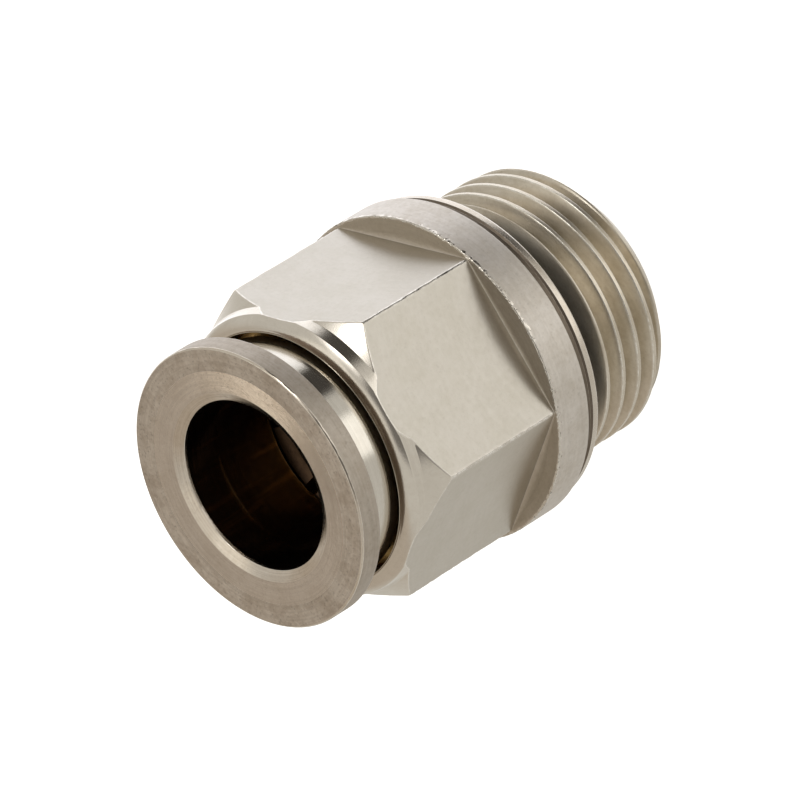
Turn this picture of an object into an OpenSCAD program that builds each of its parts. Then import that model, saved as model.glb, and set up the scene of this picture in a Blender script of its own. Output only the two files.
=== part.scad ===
// Straight push-to-connect tube fitting with a parallel pipe thread.
// The axis is +Z, towards the tube port. Z = 0 is the sealing plane: the end of
// the lip on the collar's back, which meets the face of the port. Millimetres.

/* [Tube side] */
// Outside diameter of the tube that the fitting takes
tube_d = 10; // [9.6:0.1:10]
// How much wider the tube's way in is than the tube
tube_clearance = 0.2; // [0.16:0.02:0.3]
// Height of the ledge that the tube's end rests on
tube_stop_z = -0.5; // [-1:0.1:0]
// Diameter of the flow passage below the tube
flow_d = 7.5; // [6:0.1:8.5]

/* [Male thread] */
// Major diameter of the parallel pipe thread, G 3/8
thread_d = 16.662; // [16.5:0.01:16.8]
// Pitch of the thread
thread_pitch = 1.337; // [1.2:0.001:1.5]
// Depth of the thread
thread_depth = 0.856; // [0.7:0.01:0.95]
// Length of the threaded end below the sealing plane
thread_length = 8.4; // [7.8:0.1:10]
// Direction, in degrees about Z, at which a crest stands at crest_z
crest_angle = -87; // [-180:1:180]
// Height of that crest
crest_z = -2.3; // [-3:0.05:-2]

/* [Body] */
// Size of the hexagon across its flats
hex_flats = 17; // [16.8:0.1:17.2]
// Diameter of the round collar
collar_d = 20; // [19.8:0.1:22]
// Height of the collar's back edge
collar_back_z = 1.2; // [0.9:0.05:1.25]
// Height of the collar's front face, where the hexagon starts
collar_front_z = 3.7; // [3:0.1:4.5]
// Height of the body's mouth
mouth_z = 14.5; // [14.4:0.05:14.6]
// Diameter of the mouth's bore, which also holds the grip bush
mouth_d = 15.28; // [15.2:0.02:15.3]
// Outside diameter of the sealing lip on the collar's back
lip_d = 19.4; // [19.2:0.1:19.6]

/* [Release ring] */
// Diameter of the flange that a thumb or a tool presses
flange_d = 17; // [16.4:0.1:17.4]
// Thickness of the flange
flange_t = 1.45; // [1.2:0.05:1.6]
// Height of the flange's front face at rest
flange_front_z = 18.35; // [18.3:0.05:18.8]
// Diameter of the polished neck behind the flange
neck_d = 14.6; // [14.4:0.1:14.8]
// How far the ring is pressed in to let the tube go
release_travel = 1.5; // [1:0.1:1.5]

/* [Grip collet] */
// Number of slots between the fingers
slots = 8; // [6:1:10]
// Width of each slot
slot_w = 0.8; // [0.6:0.1:1]

/* [Seals] */
// Section diameter of the O-ring under the collar
port_ring_cs = 1.76; // [1.6:0.02:1.78]
// Section diameter of the O-ring that seals on the tube
tube_ring_cs = 1.76; // [1.6:0.02:1.76]

/* [Hidden] */
$fn = 96;

tube_bore_r = (tube_d + tube_clearance) / 2;
thread_r = thread_d / 2;
root_r = thread_r - thread_depth;
end_z = -thread_length;
mouth_r = mouth_d / 2;
eps = 0.01;

// The stack inside the body, from the tube stop to the mouth.
seal_floor_z = 2.7;                          // floor of the tube seal's chamber
seal_chamber_r = 6.9;                        // radius of that chamber
washer_t = 0.8;                              // thickness of the backing washer
collet_floor_z = 5.3;                        // floor of the collet's chamber
collet_bore_r = 7.3;                         // radius that guides the collet's foot
bush_floor_z = 9.6;                          // shoulder that the bush is pressed against
bush_top_z = 12.45;                          // top of the bush
throat_r = 6.15;                             // throat of the bush, above the barb
barb_room_r = 6.5;                           // room for the release ring's barb
nose_r = 6.05;                               // release ring's nose, inside the throat
barb_r = 6.4;                                // barb that keeps the ring in the bush
nose_tip_z = 10.9;                           // end of the nose at rest
relief_bore_r = 5.28;                        // wider bore of the release ring
relief_bore_z = 15.42;                       // where the ring's bore widens
collet_foot_z = 6.55;                        // underside of the collet at rest
collet_top_z = 10.5;                         // top of the collet's fingers at rest

// The mouth's rim: a band turned almost straight over the hexagon's chamfer, then a
// dome that runs from a crisp outer edge to the bore.
chamfer_foot_z = 12.05;                      // foot of the 45 degree chamfer, at the corners
chamfer_top = [8.72, 13.35];                 // radius and height where the band starts
dome_outer_r = 8.57;                         // radius of the dome's outer edge
dome_slopes = [12, 46];                      // the dome's slope at the bore and at that edge

// The groove that holds the port seal, between the neck of the thread and the lip.
relief_r = 7.2;                              // thread relief behind the collar
relief_end_z = crest_z - 0.05;               // where the relief's cone meets the thread
seal_pocket_z = 1.3;                         // floor of the seal's pocket
lip_inner_r = 9.25;                          // inside of the sealing lip
lip_groove = [0.12, 0.48];                   // depth and lowest height of the groove over the lip

// Points along the dome, from its outer edge to the bore.
function dome() =
    let (start = dome_slopes[0], end = dome_slopes[1],
         arc_r = (dome_outer_r - mouth_r) / (sin(end) - sin(start)))
    [for (a = [end : (start - end) / 6 : start])
        [mouth_r + arc_r * (sin(a) - sin(start)), mouth_z - arc_r * (cos(start) - cos(a))]];

// A ring of round section about the Z axis.
module torus(mean_r, section_r, z) {
    translate([0, 0, z])
        rotate_extrude($fn = 96)
            translate([mean_r, 0]) circle(r = section_r, $fn = 40);
}

// The space of one helical thread groove, as rings of four points each.
// It widens outwards, past the crest, at the thread's 27.5 degree flank angle.
module thread_groove() {
    steps = 24;                              // rings in one turn
    crest_flat = 0.22;
    over = 0.25;                             // how far the groove runs past the crest
    slope = tan(27.5);
    half_out = (thread_pitch - crest_flat) / 2 + over * slope;
    half_in = (thread_pitch - crest_flat) / 2 - thread_depth * slope;
    start_turn = floor((end_z - 1 - crest_z) / thread_pitch) - 1;
    turns = ceil((-0.5 - crest_z) / thread_pitch) - start_turn;
    rings = [for (i = [0 : steps * turns])
        let (a = 360 * (i / steps + start_turn) + crest_angle,
             z = crest_z + thread_pitch * (i / steps + start_turn + 0.5))
        [for (q = [[thread_r + over, -half_out], [root_r, -half_in],
                   [root_r, half_in], [thread_r + over, half_out]])
            [q[0] * cos(a), q[0] * sin(a), z + q[1]]]];
    n = len(rings);
    points = [for (r = rings) for (p = r) p];
    sides = [for (i = [0 : n - 2]) for (k = [0 : 3])
        let (a = 4 * i + k, b = 4 * i + (k + 1) % 4)
        for (t = [[a, b, b + 4], [a, b + 4, a + 4]]) t];
    caps = [[0, 3, 2], [0, 2, 1],
            [4 * n - 4, 4 * n - 3, 4 * n - 2], [4 * n - 4, 4 * n - 2, 4 * n - 1]];
    polyhedron(points = points, faces = concat([for (f = sides) [f[0], f[2], f[1]]],
                                               [for (f = caps) [f[0], f[2], f[1]]]));
}

// Outside of the body below the hexagon, with the seal's pocket cut in.
module collar_and_stem() {
    rotate_extrude()
        polygon([
            [flow_d / 2 - 0.6, end_z], [7.0, end_z], [thread_r, end_z + 1.33],
            [thread_r, relief_end_z], [relief_r, relief_end_z + 0.75],
            [relief_r, seal_pocket_z], [lip_inner_r, seal_pocket_z],
            [lip_inner_r, 0.1], [lip_inner_r + 0.1, 0],
            [lip_d / 2 - 0.2, 0], [lip_d / 2, 0.2], [lip_d / 2, lip_groove[1]],
            [lip_d / 2 - lip_groove[0], lip_groove[1] + 0.12],
            [lip_d / 2 - lip_groove[0], collar_back_z],
            [collar_d / 2 - 0.1, collar_back_z], [collar_d / 2, collar_back_z + 0.1],
            [collar_d / 2, collar_front_z], [flow_d / 2 - 0.6, collar_front_z]]);
}

// The hexagon, with its front corners turned off to a domed mouth.
module hexagon() {
    intersection() {
        translate([0, 0, collar_front_z - eps])
            cylinder(h = mouth_z - collar_front_z + eps, r = hex_flats / sqrt(3), $fn = 6);
        rotate_extrude()
            polygon(concat(
                [[0, collar_front_z - 1], [collar_d / 2, collar_front_z - 1],
                 [collar_d / 2, chamfer_foot_z], chamfer_top],
                dome(), [[0, mouth_z]]));
    }
}

// Everything that is bored out of the body, from the thread's end to the mouth.
module bores() {
    rotate_extrude()
        polygon([
            [0, end_z - 1], [flow_d / 2 + 0.6, end_z - 1], [flow_d / 2 + 0.6, end_z],
            [flow_d / 2, end_z + 0.6], [flow_d / 2, tube_stop_z], [tube_bore_r, tube_stop_z],
            [tube_bore_r, seal_floor_z], [seal_chamber_r, seal_floor_z],
            [seal_chamber_r, collet_floor_z], [collet_bore_r, collet_floor_z],
            [collet_bore_r, bush_floor_z], [mouth_r, bush_floor_z],
            [mouth_r, mouth_z + 1], [0, mouth_z + 1]]);
}

module body() {
    color("#cfc8bb")
        difference() {
            union() {
                difference() {
                    collar_and_stem();
                    thread_groove();
                }
                hexagon();
            }
            bores();
        }
}

// Bush pressed into the mouth: its throat holds the release ring, and its cone
// closes the collet's fingers on the tube.
module grip_bush() {
    color("#b9a46c")
        rotate_extrude()
            polygon([
                [7.0, bush_floor_z], [mouth_r, bush_floor_z], [mouth_r, bush_top_z - 0.2],
                [mouth_r - 0.2, bush_top_z], [throat_r + 0.2, bush_top_z],
                [throat_r, bush_top_z - 0.2], [throat_r, 11.6], [barb_room_r, 11.6],
                [barb_room_r, 11.0]]);
}

// Slotted collet: a foot ring with spring fingers, each with two biting edges.
module grip_collet() {
    z0 = collet_foot_z;
    z1 = collet_top_z;
    color("#c39a5a")
        difference() {
            rotate_extrude()
                polygon([
                    [tube_bore_r + 0.15, z0], [collet_bore_r - 0.08, z0],
                    [collet_bore_r - 0.08, z0 + 0.9], [6.1, z0 + 1.1], [6.1, z1 - 1.5],
                    [6.75, z1 - 0.9], [6.48, z1 - 0.1], [6.38, z1], [5.75, z1],
                    [tube_bore_r + 0.03, z1 - 0.45], [tube_bore_r + 0.25, z1 - 0.6],
                    [tube_bore_r + 0.03, z1 - 0.9], [tube_bore_r + 0.35, z1 - 1.1],
                    [tube_bore_r + 0.35, z0 + 0.7], [tube_bore_r + 0.15, z0 + 0.5]]);
            for (i = [0 : slots - 1])
                rotate([0, 0, 360 / slots * (i + 0.5)])
                    translate([4, -slot_w / 2, z0 + 1.3])
                        cube([5, slot_w, z1 - z0]);
        }
}

// Flanged ring that is pressed in to push the collet off its cone.
module release_ring() {
    zf = flange_front_z;
    zb = flange_front_z - flange_t;
    fr = flange_d / 2;
    color("#a89a87")
        rotate_extrude()
            polygon([
                [relief_bore_r, nose_tip_z + 0.15], [relief_bore_r + 0.15, nose_tip_z],
                [barb_r - 0.25, nose_tip_z], [barb_r, nose_tip_z + 0.25],
                [barb_r, 11.5], [nose_r, 11.5], [nose_r, 14.0],
                [neck_d / 2 - 0.1, 14.0], [neck_d / 2, 14.1],
                [neck_d / 2, zb - 0.2], [neck_d / 2 + 0.2, zb],
                [fr - 0.1, zb], [fr, zb + 0.1], [fr, zf - 0.18], [fr - 0.12, zf],
                [7.0, zf], [5.75, zf - 0.12], [tube_bore_r + 0.06, zf - 0.42],
                [tube_bore_r, zf - 0.6], [tube_bore_r, relief_bore_z],
                [relief_bore_r, relief_bore_z]]);
}

// Seal on the tube, at the size it takes when a tube has spread it.
module tube_seal() {
    color("#1d1c1b")
        torus(tube_bore_r + 0.02 + tube_ring_cs / 2, tube_ring_cs / 2,
              seal_floor_z + 0.01 + tube_ring_cs / 2);
}

// Washer that backs the tube seal and stops the collet's foot.
module seal_washer() {
    color("#d8d2c4")
        translate([0, 0, collet_floor_z - washer_t])
            difference() {
                cylinder(h = washer_t, r = seal_chamber_r - 0.02);
                translate([0, 0, -1]) cylinder(h = washer_t + 2, r = tube_bore_r + 0.1);
            }
}

// Seal under the collar. It stands proud of the lip until the thread is tightened.
module port_seal() {
    color("#1d1c1b")
        torus(relief_r + 0.05 + port_ring_cs / 2, port_ring_cs / 2,
              seal_pocket_z - 0.02 - port_ring_cs / 2);
}

body();
grip_bush();
grip_collet();
release_ring();
tube_seal();
seal_washer();
port_seal();
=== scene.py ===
import math

import bpy
import numpy as np
from mathutils import Matrix, Vector, noise


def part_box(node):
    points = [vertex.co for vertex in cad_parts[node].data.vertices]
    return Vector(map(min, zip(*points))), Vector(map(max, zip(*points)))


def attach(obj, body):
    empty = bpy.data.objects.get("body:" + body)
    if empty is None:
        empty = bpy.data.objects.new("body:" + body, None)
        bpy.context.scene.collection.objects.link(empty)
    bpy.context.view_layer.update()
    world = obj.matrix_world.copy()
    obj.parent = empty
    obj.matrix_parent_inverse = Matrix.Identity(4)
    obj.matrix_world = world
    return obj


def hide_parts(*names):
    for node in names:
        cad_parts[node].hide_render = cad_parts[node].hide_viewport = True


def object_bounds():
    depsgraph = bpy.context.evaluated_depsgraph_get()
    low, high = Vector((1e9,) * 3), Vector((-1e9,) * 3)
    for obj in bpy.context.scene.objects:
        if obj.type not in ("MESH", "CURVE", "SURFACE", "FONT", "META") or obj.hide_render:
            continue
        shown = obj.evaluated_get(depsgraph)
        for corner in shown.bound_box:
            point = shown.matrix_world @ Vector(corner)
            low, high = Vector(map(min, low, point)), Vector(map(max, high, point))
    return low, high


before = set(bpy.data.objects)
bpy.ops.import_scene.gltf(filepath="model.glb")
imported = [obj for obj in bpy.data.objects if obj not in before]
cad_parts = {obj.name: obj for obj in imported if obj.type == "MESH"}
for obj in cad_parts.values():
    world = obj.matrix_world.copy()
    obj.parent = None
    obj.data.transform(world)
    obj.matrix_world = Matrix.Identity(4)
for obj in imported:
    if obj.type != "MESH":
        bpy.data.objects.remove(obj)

CAD_BOX = [list(corner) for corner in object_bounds()]
MM = 0.001
TAU = 2 * math.pi


# ---------------------------------------------------------------- places and sizes, in mm

def box_mm(node):
    """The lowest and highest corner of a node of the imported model."""
    low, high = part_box(node)
    return low / MM, high / MM


body_low, body_high = box_mm("body")
ring_low, ring_high = box_mm("release_ring")
bush_low, bush_high = box_mm("grip_bush")
washer_low, washer_high = box_mm("seal_washer")

THREAD_END = body_low.z
MOUTH = body_high.z
COLLAR_R = body_high.x
MOUTH_R = bush_high.x
RING_R = ring_high.x
RING_TOP = ring_high.z

# Sizes of the body that its box doesn't give
HEX_HALF = 8.5                  # from the axis to a flat
HEX_FOOT = 3.7                  # the collar's front face
COLLAR_BACK = 1.2
LIP_R, LIP_INNER_R = 9.7, 9.25
GROOVE_R, GROOVE_LOW = 9.58, 0.48
POCKET_TOP = 1.3                # floor of the port seal's pocket
RAGGED_HEIGHT = 0.36            # room for the collar's ragged front edge
RELIEF_R = 7.2
RELIEF_FOOT, RELIEF_TOP = -2.35, -1.6
THREAD_R = 8.331
THREAD_PITCH = 1.337
THREAD_DEPTH = 0.856
CREST_HALF = 0.11               # half of a crest's width
CREST_Z, CREST_ANGLE = -2.3, -87
FLANK_ANGLE = 27.5
END_R, END_CHAMFER_R = 6.97, 7.0
CHAMFER_FOOT = (10.0, 12.05)    # radius and height on the hexagon's chamfer
CHAMFER_TOP = (8.72, 13.35)     # where the chamfer meets the steep band
DOME_R = 8.57                   # the dome's crisp outer edge
DOME_SLOPES = (12, 46)          # its slope at the bore and at that edge
CUT_SOFTNESS = 0.06             # of the line where the turning cuts the hexagon's walls
TUBE_R, FLOW_R = 5.1, 3.75
TUBE_STOP, SEAL_FLOOR, COLLET_FLOOR, BUSH_FLOOR = -0.5, 2.7, 5.3, 9.6
SEAL_CHAMBER_R, COLLET_BORE_R = 6.9, 7.3


# ---------------------------------------------------------------- profile and mesh helpers

def smooth_min(a, b, k):
    """The lesser of a and b, with the crossing rounded over a width k."""
    h = np.clip(0.5 + 0.5 * (b - a) / k, 0, 1)
    return b + (a - b) * h - k * h * (1 - h)


def rounded(corners, steps=4):
    """A profile of (r, z, radius) corners, rounded, as (r, z, edge) rows. edge is 1 on a rounding."""
    out, n = [], len(corners)
    for i, (r, z, radius) in enumerate(corners):
        here = Vector((r, z))
        if radius <= 0:
            out.append((r, z, 0.0))
            continue
        before = Vector(corners[i - 1][:2]) - here
        after = Vector(corners[(i + 1) % n][:2]) - here
        angle = before.angle(after)
        cut = min(radius / math.tan(angle / 2), 0.45 * before.length, 0.45 * after.length)
        a, b = here + before.normalized() * cut, here + after.normalized() * cut
        for s in range(steps + 1):
            t = s / steps
            p = a * (1 - t) ** 2 + here * 2 * t * (1 - t) + b * t ** 2
            out.append((p.x, p.y, 4 * t * (1 - t)))
    return out


def divided(rows, longest, closed=False):
    """The same profile with its long stretches divided, so that no step is longer than given."""
    out = []
    ends = rows[1:] + rows[:1] if closed else rows[1:]
    for (r, z, e), (r2, z2, _) in zip(rows, ends):
        out.append((r, z, e))
        parts = int(math.hypot(r2 - r, z2 - z) / longest)
        for s in range(1, parts + 1):
            t = s / (parts + 1)
            out.append((r + (r2 - r) * t, z + (z2 - z) * t, 0.0))
    return out if closed else out + [rows[-1]]


def even_angles(columns):
    return [TAU * i / columns for i in range(columns)]


class Builder:
    """Collects vertices in mm, each with an edge weight, and faces, each with a material zone."""

    def __init__(self):
        self.points, self.edge, self.faces, self.zones = [], [], [], []

    def ring(self, angles, radius, height, edge=0.0):
        """One closed ring of vertices. Gives their indices."""
        start = len(self.points)
        n = len(angles)
        radius, height, edge = (np.broadcast_to(a, n) for a in (radius, height, edge))
        for a, r, z, e in zip(angles, radius, height, edge):
            self.points.append((r * math.cos(a), r * math.sin(a), z))
            self.edge.append(e)
        return list(range(start, start + n))

    def band(self, low, high, zone):
        """Joins two rings with the same number of vertices."""
        n = len(low)
        for i in range(n):
            j = (i + 1) % n
            self.faces.append((low[i], low[j], high[j], high[i]))
            self.zones.append(zone)

    def zip(self, low, low_angles, high, high_angles, zone):
        """Joins two rings with different numbers of vertices."""
        i = j = 0
        a, b = len(low), len(high)
        while i < a or j < b:
            next_low = low_angles[(i + 1) % a] + (TAU if i + 1 >= a else 0)
            next_high = high_angles[(j + 1) % b] + (TAU if j + 1 >= b else 0)
            if j >= b or (i < a and next_low <= next_high):
                self.faces.append((low[i % a], low[(i + 1) % a], high[j % b]))
                i += 1
            else:
                self.faces.append((low[i % a], high[(j + 1) % b], high[j % b]))
                j += 1
            self.zones.append(zone)

    def join(self, rings):
        """Joins (ids, angles, zone) rings one after the other, each band taking the later ring's zone."""
        for (low, low_angles, _), (high, high_angles, zone) in zip(rings, rings[1:]):
            if len(low) == len(high):
                self.band(low, high, zone)
            else:
                self.zip(low, low_angles, high, high_angles, zone)

    def mesh(self, name, materials):
        data = bpy.data.meshes.new(name)
        data.from_pydata([(x * MM, y * MM, z * MM) for x, y, z in self.points], [], self.faces)
        data.validate()
        for m in materials:
            data.materials.append(m)
        data.polygons.foreach_set("material_index", self.zones)
        data.polygons.foreach_set("use_smooth", [True] * len(self.faces))
        attribute = data.attributes.new("edge_wear", "FLOAT", "POINT")
        attribute.data.foreach_set("value", np.array(self.edge, np.float32))
        data.update()
        piece = bpy.data.objects.new(name, data)
        bpy.context.scene.collection.objects.link(piece)
        return piece


def lathe(name, rows, columns, materials, zone_of=None, burr=0.0, burr_from=0.0):
    """A turned shape from its closed profile. Its edges beyond the radius burr_from are ragged by burr."""
    made = Builder()
    angles = even_angles(columns)

    def ragged(r, z, a):
        x, y = r * math.cos(a), r * math.sin(a)
        coarse = noise.noise(Vector((x * 2.6, y * 2.6, z * 2)))
        return coarse + 0.7 * noise.noise(Vector((x * 6, y * 6, z * 3)))

    rings = []
    for r, z, e in rows:
        radius = r
        if burr and e > 0 and r > burr_from:
            radius = r + burr * e * (np.array([ragged(r, z, a) for a in angles]) - 0.7)
        rings.append(made.ring(angles, radius, z, e))
    for i in range(len(rows)):
        j = (i + 1) % len(rows)
        middle_r, middle_z = (rows[i][0] + rows[j][0]) / 2, (rows[i][1] + rows[j][1]) / 2
        made.band(rings[i], rings[j], zone_of(middle_r, middle_z) if zone_of else 0)
    return made.mesh(name, materials)


# ---------------------------------------------------------------- node helpers

def add(tree, kind, values=None, **settings):
    """A node with its settings, and its inputs as constants or linked sockets, by name or index."""
    n = tree.nodes.new(kind)
    for key, value in settings.items():
        setattr(n, key, value)
    for key, value in (values or {}).items():
        if isinstance(value, bpy.types.NodeSocket):
            tree.links.new(value, n.inputs[key])
        else:
            n.inputs[key].default_value = value
    return n


def math_node(tree, operation, a, b=0.0, clamp=False):
    return add(tree, "ShaderNodeMath", {0: a, 1: b}, operation=operation, use_clamp=clamp).outputs[0]


def weighted(tree, a, share_a, b, share_b):
    """share_a of a and share_b of b, added."""
    a, b = math_node(tree, "MULTIPLY", a, share_a), math_node(tree, "MULTIPLY", b, share_b)
    return math_node(tree, "ADD", a, b)


def span(tree, value, low, high, to_low=0.0, to_high=1.0, smooth=True):
    """value from low..high to to_low..to_high, clamped."""
    return add(tree, "ShaderNodeMapRange",
               {"Value": value, "From Min": low, "From Max": high, "To Min": to_low, "To Max": to_high},
               interpolation_type="SMOOTHSTEP" if smooth else "LINEAR").outputs[0]


def blend_colours(tree, factor, a, b):
    n = add(tree, "ShaderNodeMix", data_type="RGBA", blend_type="MIX")
    n.clamp_factor = True
    for socket, value in ((n.inputs[0], factor), (n.inputs[6], a), (n.inputs[7], b)):
        if isinstance(value, bpy.types.NodeSocket):
            tree.links.new(value, socket)
        else:
            socket.default_value = value
    return n.outputs[2]


def rgb(colour, share=1.0):
    return (*(c * share for c in colour), 1.0)


def noise_node(tree, vector, scale, detail=4.0, roughness=0.55):
    return add(tree, "ShaderNodeTexNoise",
               {"Vector": vector, "Scale": scale, "Detail": detail, "Roughness": roughness}).outputs[0]


def bump_node(tree, height, distance, under=None):
    """A bump of a height in metres, on top of another one."""
    values = {"Strength": 1.0, "Distance": distance, "Height": height}
    if under is not None:
        values["Normal"] = under
    return add(tree, "ShaderNodeBump", values).outputs[0]


def new_material(name):
    """An empty material, its node tree, and the place on the piece in mm."""
    m = bpy.data.materials.new(name)
    m.use_nodes = True
    t = m.node_tree
    t.nodes.clear()
    where = add(t, "ShaderNodeTexCoord").outputs["Object"]
    place = add(t, "ShaderNodeVectorMath", {0: where, "Scale": 1 / MM}, operation="SCALE").outputs[0]
    return m, t, place


def show(tree, shader):
    out = add(tree, "ShaderNodeOutputMaterial")
    tree.links.new(shader.outputs[0], out.inputs[0])


def metal(name, colour, stain, worn, rough, turning, mottle, pits, rough_swing, turned_contrast,
          anisotropy=0.0, painted_reflection_streaks=0.0):
    """Turned metal with its plating. turning is (marks per mm, their depth in micrometres)."""
    m, t, place = new_material(name)
    x, y, z = add(t, "ShaderNodeSeparateXYZ", {0: place}).outputs
    squares = math_node(t, "ADD", math_node(t, "MULTIPLY", x, x), math_node(t, "MULTIPLY", y, y))
    along = math_node(t, "ADD", math_node(t, "SQRT", squares), math_node(t, "MULTIPLY", z, 1.07))
    along = math_node(t, "MULTIPLY", along, turning[0])
    round_x, round_y = math_node(t, "MULTIPLY", x, 0.22), math_node(t, "MULTIPLY", y, 0.22)
    marks_at = add(t, "ShaderNodeCombineXYZ", {0: round_x, 1: round_y, 2: along}).outputs[0]
    marks = noise_node(t, marks_at, 1.0, 3.0, 0.6)
    broad = noise_node(t, place, 0.55, 5.0, 0.6)
    fine = noise_node(t, place, 3.2, 5.0, 0.65)
    grain = noise_node(t, place, 14.0, 3.0, 0.6)
    pit = span(t, noise_node(t, place, 6.5, 2.0, 0.5), 0.30, 0.42, 1.0, 0.0)

    # Colour: stains, turning marks, pits, painted reflection streaks along the axis, and wear on the edges
    stained = span(t, weighted(t, broad, 0.55, fine, 0.45), 0.36, 0.66)
    base = blend_colours(t, math_node(t, "MULTIPLY", stained, mottle, True), rgb(colour), rgb(stain))
    marked = math_node(t, "MULTIPLY", span(t, marks, 0.35, 0.65, 1.0, 0.0), turned_contrast)
    base = blend_colours(t, marked, base, rgb(stain, 0.55))
    base = blend_colours(t, math_node(t, "MULTIPLY", pit, pits), base, rgb(stain, 0.35))
    # Painted reflection: pale streaks along the axis that stand for reflections in a bore
    if painted_reflection_streaks:
        painted_reflection_at = add(t, "ShaderNodeVectorMath", {0: place, 1: (1.5, 1.5, 0.12)}, operation="MULTIPLY")
        painted_reflection = span(t, noise_node(t, painted_reflection_at.outputs[0], 1.0, 4.0, 0.6), 0.50, 0.72)
        base = blend_colours(t, math_node(t, "MULTIPLY", painted_reflection, painted_reflection_streaks), base, rgb(worn))
    wear = add(t, "ShaderNodeAttribute", attribute_name="edge_wear").outputs["Fac"]
    wear = math_node(t, "MULTIPLY", wear, span(t, fine, 0.38, 0.62, 0.15, 1.0), True)
    base = blend_colours(t, wear, base, rgb(worn))

    # Roughness: uneven, and lower where an edge is worn bright
    uneven = math_node(t, "SUBTRACT", weighted(t, fine, 0.5, grain, 0.5), 0.5)
    roughness = math_node(t, "ADD", math_node(t, "MULTIPLY", uneven, rough_swing * 4), rough)
    roughness = math_node(t, "SUBTRACT", roughness, math_node(t, "MULTIPLY", wear, rough * 0.35))
    roughness = span(t, roughness, 0.06, 0.9, 0.06, 0.9, smooth=False)

    bump = bump_node(t, marks, turning[1] * 1e-6)
    bump = bump_node(t, grain, 2.5e-6, bump)
    bump = bump_node(t, math_node(t, "SUBTRACT", 1.0, pit), pits * 1.2e-5, bump)
    shader = add(t, "ShaderNodeBsdfPrincipled",
                 {"Base Color": base, "Metallic": 1.0, "Roughness": roughness, "Normal": bump})
    if anisotropy:
        shader.inputs["Anisotropic"].default_value = anisotropy
        tangent = add(t, "ShaderNodeTangent", direction_type="RADIAL", axis="Z").outputs[0]
        t.links.new(tangent, shader.inputs["Tangent"])
    show(t, shader)
    return m


def rubber(name):
    """Black nitrile rubber with a little bloom."""
    m, t, place = new_material(name)
    bloom = noise_node(t, place, 1.1, 5.0, 0.6)
    grain = noise_node(t, place, 16.0, 4.0, 0.6)
    black, bloomed = rgb((0.011, 0.011, 0.012)), rgb((0.030, 0.029, 0.028))
    base = blend_colours(t, span(t, bloom, 0.45, 0.75), black, bloomed)
    show(t, add(t, "ShaderNodeBsdfPrincipled",
                {"Base Color": base, "Roughness": span(t, grain, 0.3, 0.7, 0.42, 0.62),
                 "Normal": bump_node(t, grain, 4e-6)}))
    return m


# ---------------------------------------------------------------- materials

NICKEL_WORN = (0.86, 0.82, 0.75)
RING_WORN = (0.85, 0.80, 0.73)
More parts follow.
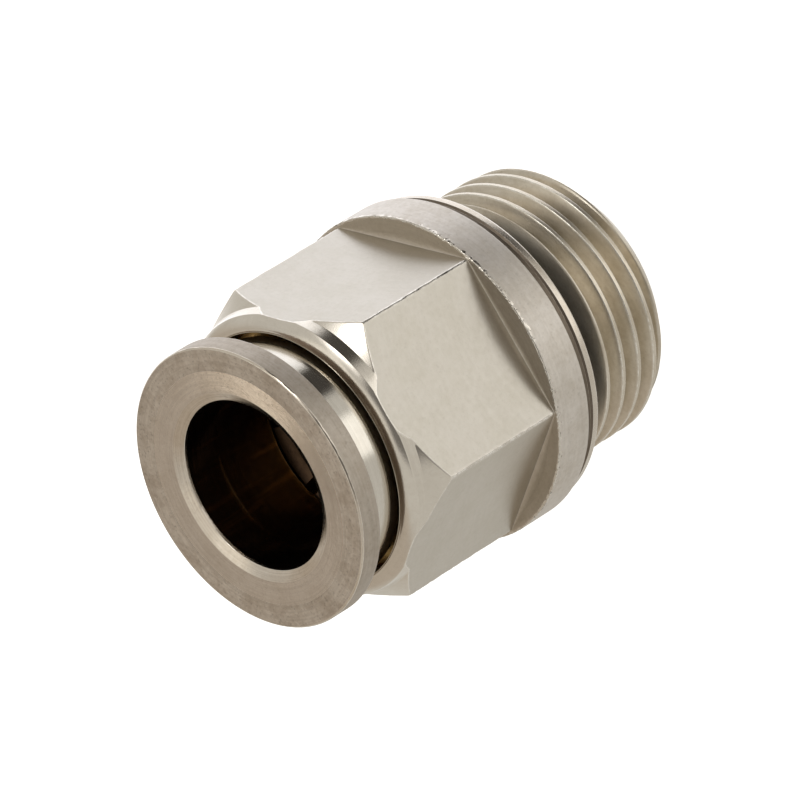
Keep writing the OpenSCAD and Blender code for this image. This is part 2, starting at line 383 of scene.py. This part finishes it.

# Colour, stain and worn colour, then roughness, turning marks, mottle, pits, swing of the roughness,
# contrast of the turning marks, and for some the anisotropy and the painted reflection streaks
FINISHES = {
    "nickel_hexagon": ((0.63, 0.59, 0.525), (0.56, 0.52, 0.44), NICKEL_WORN,
                       0.39, (4.0, 0.5), 0.5, 0.06, 0.05, 0.04, 0.75),
    "nickel_rim": ((0.73, 0.68, 0.60), (0.60, 0.54, 0.45), NICKEL_WORN,
                   0.15, (7.0, 0.6), 0.3, 0.04, 0.04, 0.08),
    "nickel_mouth": ((0.74, 0.66, 0.55), (0.62, 0.52, 0.40), NICKEL_WORN,
                     0.5, (7.0, 2.0), 0.4, 0.05, 0.08, 0.10),
    "nickel_collar": ((0.70, 0.655, 0.60), (0.56, 0.505, 0.43), NICKEL_WORN,
                      0.54, (6.0, 1.2), 0.6, 0.12, 0.08, 0.10),
    "nickel_edge": ((0.76, 0.71, 0.63), (0.46, 0.40, 0.33), (0.90, 0.87, 0.81),
                    0.16, (14.0, 6.0), 0.6, 1.0, 0.10, 0.30),
    "nickel_step": ((0.57, 0.51, 0.43), (0.46, 0.40, 0.32), NICKEL_WORN,
                    0.40, (6.0, 1.2), 0.6, 0.12, 0.08, 0.12),
    # painted shade: the groove's nickel is darkened to stand for the shade in the narrow groove
    "nickel_groove_painted_shade": ((0.20, 0.165, 0.13), (0.14, 0.11, 0.08), (0.5, 0.45, 0.38),
                      0.45, (6.0, 1.2), 0.6, 0.12, 0.08, 0.12),
    "nickel_lip": ((0.68, 0.62, 0.54), (0.52, 0.45, 0.36), NICKEL_WORN,
                   0.27, (7.0, 1.2), 0.5, 0.10, 0.08, 0.12),
    "nickel_thread": ((0.70, 0.64, 0.54), (0.48, 0.41, 0.30), (0.90, 0.87, 0.80),
                      0.33, (7.0, 1.2), 0.5, 0.1, 0.08, 0.18),
    "brass_bore": ((0.62, 0.44, 0.19), (0.40, 0.26, 0.10), (0.8, 0.65, 0.35),
                   0.26, (8.0, 2.5), 0.5, 0.2, 0.10, 0.2),
    "ring_face": ((0.66, 0.60, 0.53), (0.45, 0.38, 0.31), RING_WORN,
                  0.46, (8.0, 2.2), 0.85, 0.35, 0.12, 0.20),
    # painted shade: the flange's side is a darker copy of the ring's nickel, toning down its reflection
    "ring_side_painted_shade": ((0.53, 0.475, 0.41), (0.42, 0.36, 0.29), (0.80, 0.75, 0.68),
                  0.58, (8.0, 2.0), 0.6, 0.15, 0.08, 0.16),
    # painted shade: the flange's underside is darkened for the shade under the flange
    "ring_back_painted_shade": ((0.21, 0.16, 0.12), (0.15, 0.11, 0.08), (0.60, 0.52, 0.43),
                  0.42, (8.0, 2.0), 0.6, 0.15, 0.08, 0.16),
    "ring_annulus": ((0.67, 0.61, 0.54), (0.53, 0.46, 0.385), RING_WORN,
                     0.17, (9.0, 1.6), 0.5, 0.12, 0.04, 0.16),
    "ring_lip": ((0.70, 0.63, 0.54), (0.52, 0.44, 0.34), (0.88, 0.83, 0.74),
                 0.14, (12.0, 2.4), 0.4, 0.1, 0.04, 0.22),
    "ring_neck": ((0.70, 0.66, 0.59), (0.58, 0.53, 0.45), (0.88, 0.85, 0.80),
                  0.10, (10.0, 0.8), 0.3, 0.0, 0.04, 0.10),
    # painted shade and painted reflection: the ring's bore is darkened for the shade inside it, and its axial
    # streaks stand for reflections
    "ring_bore_painted_shade_and_reflection": ((0.15, 0.115, 0.09), (0.09, 0.065, 0.05), (0.42, 0.26, 0.13),
                  0.20, (3.4, 9.0), 0.5, 0.1, 0.06, 0.25, 0.0, 0.5),
    "bush_brass": ((0.66, 0.48, 0.22), (0.46, 0.31, 0.12), (0.85, 0.70, 0.40),
                   0.24, (9.0, 2.0), 0.5, 0.1, 0.08, 0.2),
    # painted shade: the collet's bronze is darkened for the shade deep in the bore
    "collet_bronze": ((0.17, 0.105, 0.06), (0.10, 0.06, 0.04), (0.35, 0.23, 0.14),
                      0.50, (8.0, 2.0), 0.6, 0.1, 0.10, 0.2),
}
METALS = {name: metal(name, *values) for name, values in FINISHES.items()}
seal_rubber = rubber("seal_rubber")


# ---------------------------------------------------------------- body

BODY_MATERIALS = ["nickel_thread", "nickel_collar", "nickel_hexagon", "nickel_rim", "brass_bore",
                  "nickel_mouth", "nickel_edge", "nickel_step", "nickel_groove_painted_shade", "nickel_lip"]
THREAD, COLLAR, FLAT, RIM, BORE, MOUTH_BORE, EDGE, STEP, GROOVE, LIP = range(len(BODY_MATERIALS))


def hexagon_angles():
    """Angles for one turn, closer together beside the hexagon's corners and where its arches are steep."""
    half = [0, 0.2, 0.45, 0.75, 1.2, 1.8, 2.6, 3.6, 4.8, 6, 7.2, 8.4, 9.6, 10.8, 12, 13.2, 14.4, 15.6,
            16.6, 17.5, 18.4, 19.2, 20, 20.8, 21.6, 22.4, 23.2, 24.2, 25.4, 26.6, 27.8, 29, 30]
    sector = half[:-1] + [60 - a for a in half[:0:-1]]
    return [math.radians(60 * k + a) for k in range(6) for a in sector]


def hexagon_wall(angles, k=0.14):
    """The distance to the hexagon's wall, its corners slightly rounded."""
    angles = np.array(angles)
    nearest = np.round((angles - TAU / 12) / (TAU / 6)) * (TAU / 6) + TAU / 12
    first = HEX_HALF / np.cos(angles - nearest)
    side = np.where(angles > nearest, 1, -1)
    second = HEX_HALF / np.cos(np.clip(angles - nearest - side * TAU / 6, -1.4, 1.4))
    return smooth_min(first, second, k)


def wobble(angle, z, scale, seed):
    """Noise round the body, with waves about 1 / scale mm long."""
    return noise.noise(Vector((math.cos(angle) * 9 * scale, math.sin(angle) * 9 * scale, z * scale + seed)))


def dome_points(count=14):
    """The rim's dome as (r, z), from its outer edge to the bore."""
    start, end = (math.radians(slope) for slope in DOME_SLOPES)
    arc = (DOME_R - MOUTH_R) / (math.sin(end) - math.sin(start))
    return [(MOUTH_R + arc * (math.sin(a) - math.sin(start)), MOUTH - arc * (math.cos(start) - math.cos(a)))
            for a in np.linspace(end, start, count)]


# The turned end of the hexagon (chamfer, steep band, dome) as r and z, and the distance along it
RIM_R, RIM_Z = np.array([CHAMFER_FOOT, CHAMFER_TOP] + dome_points()).T
RIM_AT = np.concatenate([[0], np.cumsum(np.hypot(np.diff(RIM_R), np.diff(RIM_Z)))])


def rim_at(s, softness=0.016):
    """(r, z) at a distance along the turned end, its corners a little rounded."""
    places = (s - softness, s, s + softness)
    return tuple(sum(np.interp(place, RIM_AT, line) for place in places) / 3 for line in (RIM_R, RIM_Z))


def turned_rings(made, rows, columns, zone_of):
    """Rings of a turned stretch, from its (r, z, edge) rows."""
    angles = even_angles(columns)
    return [(made.ring(angles, r, z, e), angles, zone_of(r, z)) for r, z, e in rows]


def collar_back_rings(made):
    """From the thread's relief out under the collar, over the lip and its groove, and up the collar."""
    corners = [
        (RELIEF_R, RELIEF_TOP + 0.15, 0), (RELIEF_R, POCKET_TOP, 0.1), (LIP_INNER_R, POCKET_TOP, 0.1),
        (LIP_INNER_R, 0.0, 0.07), (LIP_R, 0.0, 0.18), (LIP_R, GROOVE_LOW, 0.03),
        (GROOVE_R, GROOVE_LOW + 0.12, 0.03), (GROOVE_R, COLLAR_BACK, 0.04), (COLLAR_R, COLLAR_BACK, 0.07),
        (COLLAR_R, HEX_FOOT - RAGGED_HEIGHT, 0), (9.0, HEX_FOOT, 0)]

    def zone(r, z):
        if r < LIP_INNER_R + 0.05 and z < 2:
            return THREAD
        if r < LIP_R + 0.02 and z < COLLAR_BACK + 0.01:
            # the groove takes a nickel darkened as painted shade
            return LIP if z < GROOVE_LOW + 0.02 else GROOVE
        return COLLAR

    return turned_rings(made, divided(rounded(corners)[:-1], 0.6), 200, zone)


def collar_edge_rings(made):
    """The collar's front edge: a small chamfer left ragged by the tool, on many more columns."""
    angles = even_angles(960)
    rough = np.array([0.5 + 0.9 * wobble(a, 0, 2.8, 3.0) + 0.9 * wobble(a, 0, 1.1, 9.0) for a in angles])
    lean = np.clip([1.7 * wobble(a, 0, 4.5, 21.0) for a in angles], -0.75, 0.75)
    size = np.clip(0.095 + 0.045 * rough, 0.04, 0.16)
    rings = []
    for across, up in ((0.0, -1.15), (0.06, -0.75), (0.30, -0.30), (0.65, -0.06), (1.0, 0.0)):
        radius = COLLAR_R - np.clip(size * across * (1 + lean), 0, 0.15)
        ids = made.ring(angles, radius, HEX_FOOT + size * up * (1 - lean), 0.4 * (across > 0))
        rings.append((ids, angles, EDGE if across > 0 else COLLAR))
    return rings


def hexagon_rings(made, angles):
    """Across the collar's face, up the hexagon's wall, and over its turned end."""
    wall = hexagon_wall(angles)
    from_corner = np.array([abs((math.degrees(a) + 30) % 60 - 30) for a in angles])
    on_corner = np.clip(1 - from_corner / 0.9, 0, 1)
    rings = []

    def ring(radius, z, edge, zone):
        rings.append((made.ring(angles, radius, z, edge), angles, zone))

    face_start = COLLAR_R - 0.16
    for share in (0.0, 0.3, 0.65, 1.0):
        radius = face_start + (wall + 0.012 - face_start) * share
        ring(np.minimum(radius, face_start - 0.004 * share), HEX_FOOT, 0.0, STEP)

    # The wall, with a light burr on the corners, up to where the turning cuts it
    cross_at = np.interp(-wall, -RIM_R, RIM_AT)
    cross_z = np.interp(cross_at, RIM_AT, RIM_Z)
    for lift, out in ((0.01, 0.004), (0.05, 0.0)):
        ring(wall + out, HEX_FOOT + lift, 0.0, FLAT)
    foot, steps = HEX_FOOT + 0.1, 58
    for step in range(steps + 1):
        z = foot + (cross_z - 0.26 - foot) * (step / steps)
        burr = np.array([c * (0.030 * wobble(a, h, 2.6, 5.0) + 0.024 * wobble(a, h, 6.0, 1.0))
                         if c > 0 else 0.0 for a, h, c in zip(angles, z, on_corner)])
        ring(wall + np.minimum(burr, 0.012), z, on_corner, FLAT)
    for away in (-0.16, -0.09, -0.045, -0.02):
        z = cross_z + away
        edge = np.maximum(max(0.0, 1 + away / 0.08), on_corner)
        radius = smooth_min(wall, np.interp(z, RIM_Z, RIM_R), CUT_SOFTNESS)
        burr = np.array([0.016 * wobble(a, h, 4.0, 2.0) for a, h in zip(angles, z)]) * edge
        ring(radius + burr, z, edge, FLAT)

    # The chamfer, the steep band and the dome, each ring never before the cut
    for station in (0.0, 0.02, 0.05, 0.1):
        r, z = rim_at(cross_at + station)
        ring(smooth_min(wall, r, CUT_SOFTNESS), z, max(0.0, 1 - station / CUT_SOFTNESS), RIM)
    band_at, dome_at, end_at = RIM_AT[1], RIM_AT[2], RIM_AT[-1]
    stations = ([0.55, 0.8, 1.05, 1.3, 1.5, 1.65]
                + [band_at + d for d in (-0.05, -0.02, 0.0, 0.02, 0.05, 0.2, 0.35, 0.5)]
                + [dome_at + d for d in (-0.05, -0.02, 0.0, 0.02, 0.05)]
                + list(np.linspace(dome_at + 0.13, end_at - 0.17, 10)))
    for i, station in enumerate(stations, 1):
        r, z = rim_at(np.maximum(station, cross_at + (0.1 + 0.004 * i)))
        ring(smooth_min(wall, r, CUT_SOFTNESS), z, 0.0, RIM)
    return rings


def bore_rings(made, angles):
    """Into the mouth and down the bores to the thread's end."""
    corners = [
        (7.95, MOUTH - 0.066, 0), (MOUTH_R, MOUTH, 0.13), (MOUTH_R, BUSH_FLOOR, 0.03),
        (COLLET_BORE_R, BUSH_FLOOR, 0.05), (COLLET_BORE_R, COLLET_FLOOR, 0.03),
        (SEAL_CHAMBER_R, COLLET_FLOOR, 0.05), (SEAL_CHAMBER_R, SEAL_FLOOR, 0.03), (TUBE_R, SEAL_FLOOR, 0.08),
        (TUBE_R, TUBE_STOP, 0.03), (FLOW_R, TUBE_STOP, 0.08), (FLOW_R, THREAD_END + 0.6, 0.05),
        (FLOW_R + 0.6, THREAD_END, 0.05), (END_R, THREAD_END, 0.0)]
    rows = [(r, min(z, MOUTH), e) for r, z, e in rounded(corners)[1:]]
    edge_rows = [row for row in rows if row[1] > 14.32]
    rings = [(made.ring(angles, r, z, 0.0), angles, RIM) for r, z, _ in edge_rows]

    def zone(_, z):
        return MOUTH_BORE if z > 12.3 else (BORE if z > THREAD_END + 0.1 else THREAD)

    deeper = divided([(MOUTH_R, 14.3, 0.0)] + rows[len(edge_rows):], 1.1)
    return rings + turned_rings(made, deeper, 144, zone)


def thread_form(from_crest, z):
    """The thread's radius and edge weight, at a height z and a distance along the axis from a crest."""
    flank = THREAD_DEPTH * math.tan(math.radians(FLANK_ANGLE))
    away = abs((from_crest + THREAD_PITCH / 2) % THREAD_PITCH - THREAD_PITCH / 2)
    slope = THREAD_R - (away - CREST_HALF) / flank * THREAD_DEPTH
    radius = float(smooth_min(THREAD_R, slope, 0.05))
    radius = -float(smooth_min(-radius, THREAD_DEPTH - THREAD_R, 0.10))
    end_cone = END_CHAMFER_R + (z - THREAD_END)
    relief_cone = THREAD_R - (z - RELIEF_FOOT) * (THREAD_R - RELIEF_R) / (RELIEF_TOP - RELIEF_FOOT)
    shell = min(end_cone, THREAD_R, relief_cone)
    edge = max(0.0, 1 - abs(away - CREST_HALF) / 0.05) if shell > THREAD_R - 0.02 else 0.0
    return float(smooth_min(radius, shell, 0.04)), edge


def add_thread(made, relief_ring, end_ring):
    """The thread, on rows of vertices that follow its helix, joined to the rings above and below it."""
    columns = 240
    unit = THREAD_PITCH / columns
    bottom, top = 0, round((RELIEF_TOP - THREAD_END) / unit)
    crest_at = round((CREST_Z - THREAD_PITCH * CREST_ANGLE / 360 - THREAD_END) / unit) % columns
    half = [0, 11, 17, 20, 24, 32, 46, 62, 78, 89, 95, 101, 110]
    in_turn = half + [120] + [columns - a for a in half[:0:-1]]
    levels = [crest_at + (k - 2) * columns + u for k in range(top // columns + 3) for u in in_turn]
    levels = [u for u in levels if u > -columns - 1]
    ids = {}

    def vertex(i, height):
        height = min(max(height, bottom), top)
        i %= columns
        if (i, height) not in ids:
            a = TAU * i / columns
            z = THREAD_END + height * unit
            r, e = thread_form((height - crest_at) * unit - THREAD_PITCH * i / columns, z)
            r += e * 0.010 * noise.noise(Vector((math.cos(a) * 22, math.sin(a) * 22, z * 3)))
            r = min(r, THREAD_R)
            ids[i, height] = len(made.points)
            made.points.append((r * math.cos(a), r * math.sin(a), z))
            made.edge.append(e)
        return ids[i, height]

    for i in range(columns):
        for low, high in zip(levels, levels[1:]):
            corners = [vertex(i, low + i), vertex(i + 1, low + i + 1),
                       vertex(i + 1, high + i + 1), vertex(i, high + i)]
            corners = list(dict.fromkeys(corners))
            if len(corners) > 2:
                made.faces.append(tuple(corners))
                made.zones.append(THREAD)
    angles = even_angles(columns)
    thread_top = [vertex(i, top) for i in range(columns)]
    thread_bottom = [vertex(i, bottom) for i in range(columns)]
    made.zip(thread_top, angles, *relief_ring[:2], THREAD)
    made.zip(*end_ring[:2], thread_bottom, angles, THREAD)


def make_body():
    made = Builder()
    angles = hexagon_angles()
    rings = collar_back_rings(made) + collar_edge_rings(made)
    rings += hexagon_rings(made, angles)
    rings += bore_rings(made, angles)
    made.join(rings)
    add_thread(made, rings[0], rings[-1])
    for i, face in enumerate(made.faces):
        if made.zones[i] == FLAT and min(made.edge[v] for v in face) > 0.45:
            made.zones[i] = EDGE
    piece = made.mesh("body_detailed", [METALS[name] for name in BODY_MATERIALS])
    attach(piece, "fitting")
    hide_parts("body")


make_body()


# ---------------------------------------------------------------- release ring

RING_MATERIALS = ["ring_face", "ring_neck", "ring_bore_painted_shade_and_reflection", "ring_annulus",
                  "ring_lip", "ring_side_painted_shade", "ring_back_painted_shade"]
FACE, NECK, RING_BORE, ANNULUS, BRIGHT_LIP, SIDE, BACK = range(len(RING_MATERIALS))
NECK_R, NOSE_R, BARB_R = 7.3, 6.05, 6.4
RING_BORE_R, WIDE_BORE_R, WIDE_BORE_TOP = 5.1, 5.28, 15.42
NECK_FOOT, FLANGE_BACK = 14.0, 16.9
ANNULUS_R, ANNULUS_INNER_R = 7.08, 5.75


def ring_zone(r, z):
    """The material zone at a place on the ring's section."""
    if r > RING_R - 0.14:
        if z > RING_TOP - 0.11:
            return BRIGHT_LIP
        # the flange's side takes a nickel darkened as painted shade
        if z > FLANGE_BACK + 0.02:
            return SIDE
    # the flange's underside takes a nickel darkened as painted shade
    if r > NECK_R + 0.04 and z < FLANGE_BACK + 0.1:
        return BACK
    if z > FLANGE_BACK - 0.08 and r > ANNULUS_INNER_R - 0.01:
        return FACE if r > ANNULUS_R or z < 18 else ANNULUS
    if r > 6.6:
        return NECK
    # the bore takes a nickel darkened as painted shade, with painted reflection streaks
    return BRIGHT_LIP if z > 17.8 else RING_BORE


def make_ring():
    nose_tip = ring_low.z
    corners = [
        (WIDE_BORE_R, 11.05, 0.03), (5.43, nose_tip, 0.03), (BARB_R - 0.25, nose_tip, 0.05),
        (BARB_R, 11.15, 0.05), (BARB_R, 11.5, 0.05), (NOSE_R, 11.5, 0.05), (NOSE_R, NECK_FOOT, 0.05),
        (NECK_R - 0.1, NECK_FOOT, 0.03), (NECK_R, NECK_FOOT + 0.1, 0.03), (NECK_R, FLANGE_BACK - 0.1, 0.12),
        (RING_R, FLANGE_BACK, 0.07), (RING_R, RING_TOP - 0.1, 0.05), (RING_R - 0.1, RING_TOP, 0.05),
        (ANNULUS_R, RING_TOP, 0.04), (ANNULUS_INNER_R, 18.23, 0.03), (5.16, 17.93, 0.05),
        (RING_BORE_R, 17.75, 0.06), (RING_BORE_R, WIDE_BORE_TOP, 0.02), (WIDE_BORE_R, WIDE_BORE_TOP, 0.02)]
    piece = lathe("release_ring_detailed", divided(rounded(corners), 0.4, closed=True), 480,
                  [METALS[name] for name in RING_MATERIALS], ring_zone, burr=0.008, burr_from=8.2)
    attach(piece, "release")
    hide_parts("release_ring")


make_ring()


# ---------------------------------------------------------------- collet, bush, washer and seals

collet_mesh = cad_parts["grip_collet"].data
collet_mesh.materials.clear()
# the collet's bronze is darkened as painted shade for the deep bore
collet_mesh.materials.append(METALS["collet_bronze"])

BUSH_HOLE_R, BUSH_CONE_R = 6.15, 6.5
bush_corners = [
    (7.0, bush_low.z, 0.05), (MOUTH_R, bush_low.z, 0.05), (MOUTH_R, 12.25, 0.05), (7.44, bush_high.z, 0.05),
    (6.35, bush_high.z, 0.06), (BUSH_HOLE_R, 12.25, 0.06), (BUSH_HOLE_R, 11.6, 0.04),
    (BUSH_CONE_R, 11.6, 0.04), (BUSH_CONE_R, 11.0, 0.05)]
bush = lathe("grip_bush_detailed", divided(rounded(bush_corners), 0.5, closed=True), 192,
             [METALS["bush_brass"]])
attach(bush, "fitting")
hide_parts("grip_bush")

WASHER_INNER_R = 5.2
washer_corners = [
    (WASHER_INNER_R, washer_low.z, 0.08), (washer_high.x, washer_low.z, 0.08),
    (washer_high.x, washer_high.z, 0.08), (WASHER_INNER_R, washer_high.z, 0.08)]
washer = lathe("seal_washer_detailed", divided(rounded(washer_corners), 0.4, closed=True), 192,
               [METALS["bush_brass"]])
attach(washer, "fitting")
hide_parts("seal_washer")


def make_seal(name, node):
    """A moulded O-ring, with the fine flash line of its mould at its inner and outer edge."""
    low, high = box_mm(node)
    section = (high.z - low.z) / 2
    middle_r, middle_z = high.x - section, (high.z + low.z) / 2
    rows = []
    for a in even_angles(40):
        flash = 1 - 0.018 * (abs(math.sin(a)) > 0.12)
        rows.append((middle_r + section * flash * math.cos(a), middle_z + section * math.sin(a) * 0.999, 0.0))
    piece = lathe(name, rows, 192, [seal_rubber])
    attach(piece, "fitting")
    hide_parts(node)


make_seal("port_seal_moulded", "port_seal")
make_seal("tube_seal_moulded", "tube_seal")


# ---------------------------------------------------------------- floor

def make_floor(half_side=3.0, cells=24):
    """A pale floor, a hair under the thread's end. It lights the fitting but isn't mirrored in it."""
    height = CAD_BOX[0][2] - 0.02 * MM
    places = [(i / cells - 0.5) * 2 * half_side for i in range(cells + 1)]
    row = cells + 1
    corners = [j * row + i for j in range(cells) for i in range(cells)]
    data = bpy.data.meshes.new("floor")
    data.from_pydata([(x, y, height) for y in places for x in places], [],
                     [(c, c + 1, c + row + 1, c + row) for c in corners])
    floor = bpy.data.objects.new("floor", data)
    bpy.context.scene.collection.objects.link(floor)
    m = bpy.data.materials.new("pale_floor")
    m.use_nodes = True
    t = m.node_tree
    t.nodes.clear()
    tone = noise_node(t, add(t, "ShaderNodeTexCoord").outputs["Object"], 30.0, 3.0, 0.5)
    base = blend_colours(t, span(t, tone, 0.3, 0.7), rgb((0.70, 0.70, 0.695)), rgb((0.73, 0.73, 0.725)))
    show(t, add(t, "ShaderNodeBsdfPrincipled",
                {"Base Color": base, "Roughness": 0.9, "Specular IOR Level": 0.1,
                 "Emission Color": rgb((1.0, 0.995, 0.985)), "Emission Strength": 0.9}))
    data.materials.append(m)
    floor.visible_glossy = False
    floor.visible_shadow = False


make_floor()


# ---------------------------------------------------------------- studio

STUDIO = (0.66, 0.645, 0.61)
# Azimuth, half width, lowest and highest elevation and softness, in degrees, then the colour.
# A half width of 180 goes all the way round, and a highest elevation over 90 reaches the top.
PANELS = [
    (35, 50, -80, -6, 24, (1.42, 1.43, 1.49)),
    (110, 55, 4, 62, 22, (0.53, 0.475, 0.41)),
    (-97, 19, -62, -26, 10, (1.40, 1.38, 1.33)),
    (-82, 13, -30, 22, 10, (1.25, 1.23, 1.19)),
    (-37, 16, -62, 21, 10, (0.07, 0.065, 0.06)),
    (-100, 38, 27, 70, 14, (0.20, 0.19, 0.18)),
    (0, 180, 74, 95, 10, (0.85, 0.82, 0.76)),
    (12, 34, 57, 80, 12, (1.08, 1.05, 0.98)),
    (-33, 17, 33, 58, 12, (1.5, 1.48, 1.45)),
    (96.6, 1.6, 17, 34, 1.6, (1.34, 1.20, 1.0)),
    (93, 1.4, 17, 34, 1.6, (0.24, 0.20, 0.16)),
]


def toward(azimuth, elevation):
    """The direction of an azimuth and elevation in degrees."""
    a, e = math.radians(azimuth), math.radians(elevation)
    return Vector((math.cos(e) * math.cos(a), math.cos(e) * math.sin(a), math.sin(e)))


def make_world():
    """An even, slightly warm studio, with pale and dark panels for the metal to reflect."""
    world = bpy.data.worlds.new("studio")
    bpy.context.scene.world = world
    world.use_nodes = True
    t = world.node_tree
    t.nodes.clear()
    direction = add(t, "ShaderNodeTexCoord").outputs["Generated"]
    direction = add(t, "ShaderNodeVectorMath", {0: direction}, operation="NORMALIZE").outputs[0]
    height = add(t, "ShaderNodeSeparateXYZ", {0: direction}).outputs[2]
    level = add(t, "ShaderNodeVectorMath", {0: direction, 1: (1, 1, 0)}, operation="MULTIPLY").outputs[0]
    level = add(t, "ShaderNodeVectorMath", {0: level}, operation="NORMALIZE").outputs[0]

    def step_in_height(at, soft, rising):
        low, high = (math.sin(math.radians(at + d)) for d in (-soft / 2, soft / 2))
        return span(t, height, low, high, *((0.0, 1.0) if rising else (1.0, 0.0)))

    colour = rgb(STUDIO)
    for azimuth, half, low, high, soft, tone in PANELS:
        share = step_in_height(low, soft, rising=True)
        if high < 90:
            share = math_node(t, "MULTIPLY", share, step_in_height(high, soft, rising=False))
        if half < 180:
            lean = add(t, "ShaderNodeVectorMath", {0: level, 1: toward(azimuth, 0)}, operation="DOT_PRODUCT")
            outer, inner = (math.cos(math.radians(a)) for a in (half + soft / 2, max(0, half - soft / 2)))
            beside = span(t, lean.outputs["Value"], outer, inner)
            share = math_node(t, "MULTIPLY", share, beside)
        colour = blend_colours(t, share, colour, rgb(tone))
    shade = add(t, "ShaderNodeBackground", {"Color": colour, "Strength": 1.0})
    out = add(t, "ShaderNodeOutputWorld")
    t.links.new(shade.outputs[0], out.inputs[0])


make_world()


def softbox(name, azimuth, elevation, distance, side, radiance):
    """A square lamp facing the fitting."""
    data = bpy.data.lights.new(name, "AREA")
    data.shape = "SQUARE"
    data.size = side
    data.energy = radiance * math.pi * side * side
    lamp = bpy.data.objects.new(name, data)
    bpy.context.scene.collection.objects.link(lamp)
    direction = toward(azimuth, elevation)
    centre = (Vector(CAD_BOX[0]) + Vector(CAD_BOX[1])) / 2
    lamp.location = centre + direction * distance
    lamp.rotation_mode = "QUATERNION"
    lamp.rotation_quaternion = direction.to_track_quat("Z", "Y")


softbox("key", azimuth=-33, elevation=45, distance=0.45, side=0.08, radiance=5.0)


# ---------------------------------------------------------------- camera

AIM = (-0.253, -0.014, 1.011)       # in mm, from the middle of the CAD box
VIEW_AZIMUTH, VIEW_ELEVATION, VIEW_ROLL = -86.734, 38.479, -121.77
VIEW_DISTANCE = 447.28              # in mm


def make_camera():
    """In front of the fitting and above its tube's end, rolled as the fitting lies in its photograph."""
    middle = (Vector(CAD_BOX[0]) + Vector(CAD_BOX[1])) / 2
    back = toward(VIEW_AZIMUTH, VIEW_ELEVATION)
    level = Vector((0, 0, 1)).cross(back).normalized()
    upright = back.cross(level)
    roll = math.radians(VIEW_ROLL)
    right = level * math.cos(roll) + upright * math.sin(roll)
    up = back.cross(right)
    data = bpy.data.cameras.new("camera")
    data.sensor_width = 36
    data.lens = 360
    data.clip_start, data.clip_end = 0.01, 20
    camera = bpy.data.objects.new("camera", data)
    bpy.context.scene.collection.objects.link(camera)
    turn = Matrix((right, up, back)).transposed().to_4x4()
    place = middle + Vector(AIM) * MM + back * VIEW_DISTANCE * MM
    camera.matrix_world = Matrix.Translation(place) @ turn
    bpy.context.scene.camera = camera


make_camera()
bpy.context.scene.view_settings.view_transform = "Standard"
